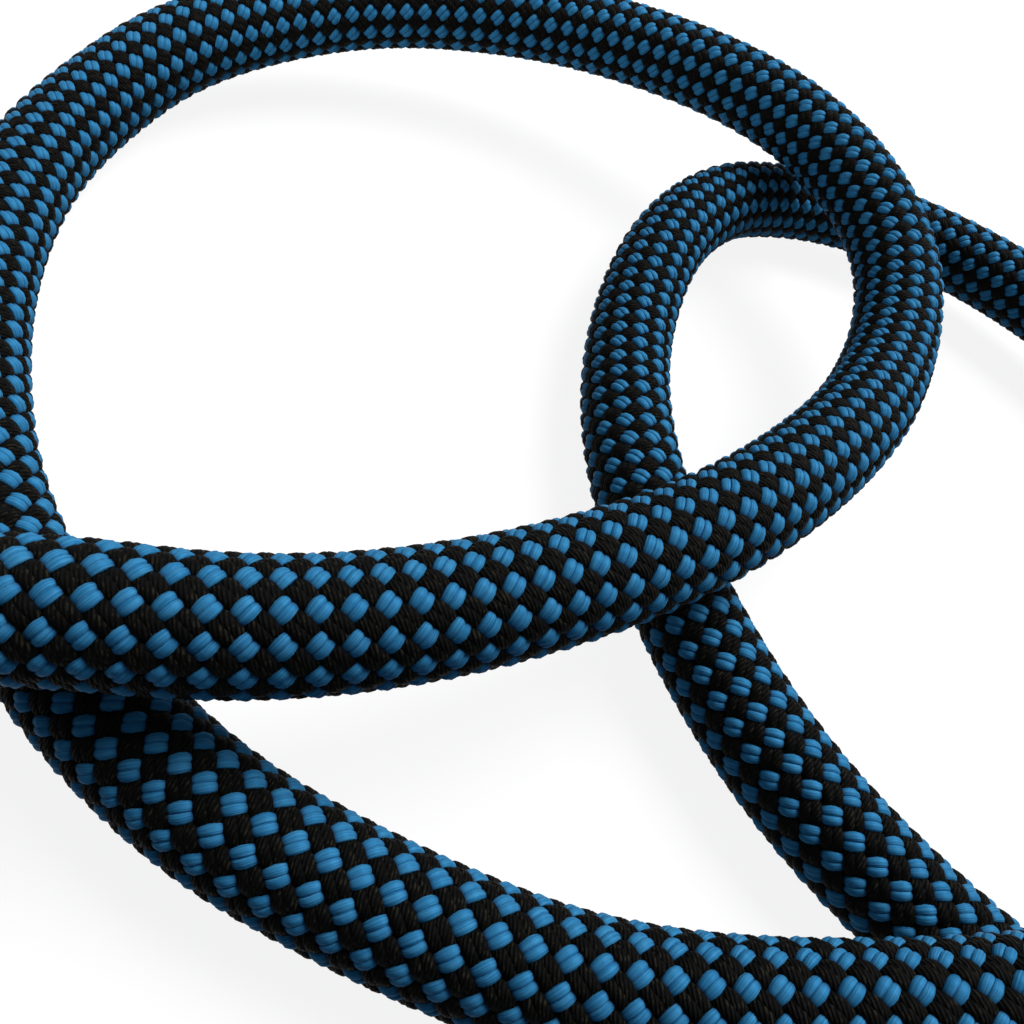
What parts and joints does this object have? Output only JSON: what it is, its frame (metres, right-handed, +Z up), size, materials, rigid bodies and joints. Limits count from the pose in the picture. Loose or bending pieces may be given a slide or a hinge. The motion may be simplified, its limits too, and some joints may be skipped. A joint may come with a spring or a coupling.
{
  "type": "dynamic climbing rope",
  "caption": "Kernmantle climbing rope with a blue and black braided sheath over core strands, in loose loops beside a neat round coil, with fused and sleeved ends.",
  "frame": {"origin": "middle of the footprint of the whole rope, on the surface it lies on", "axes": "+Z up; the loose loops lie towards +Y and the coil towards -Y"},
  "size_m": [0.1868, 0.3177, 0.0522],
  "materials": {
    "sheath": "braided nylon yarn, bright blue one way and black the other, with a soft sheen",
    "core": "twisted white nylon cord",
    "fused_tip": "melted and set nylon",
    "end_sleeve": "clear shrunk plastic",
    "marking_band": "blank pale film"
  },
  "bodies": {
    "root": {"sheath_loose": "sheath", "sheath_coil": "sheath", "sheath_tail": "sheath", "core_strand_01": "core", "core_strand_02": "core", "core_strand_03": "core", "core_strand_04": "core", "core_strand_05": "core", "core_strand_06": "core", "core_strand_07": "core", "core_strand_08": "core", "core_strand_09": "core", "core_strand_10": "core", "core_strand_11": "core", "core_strand_12": "core", "loose_end_fused_tip": "fused_tip", "loose_end_marking_band": "marking_band", "loose_end_sleeve": "end_sleeve", "coil_end_fused_tip": "fused_tip", "coil_end_marking_band": "marking_band", "coil_end_sleeve": "end_sleeve"}
  },
  "joints": []
}
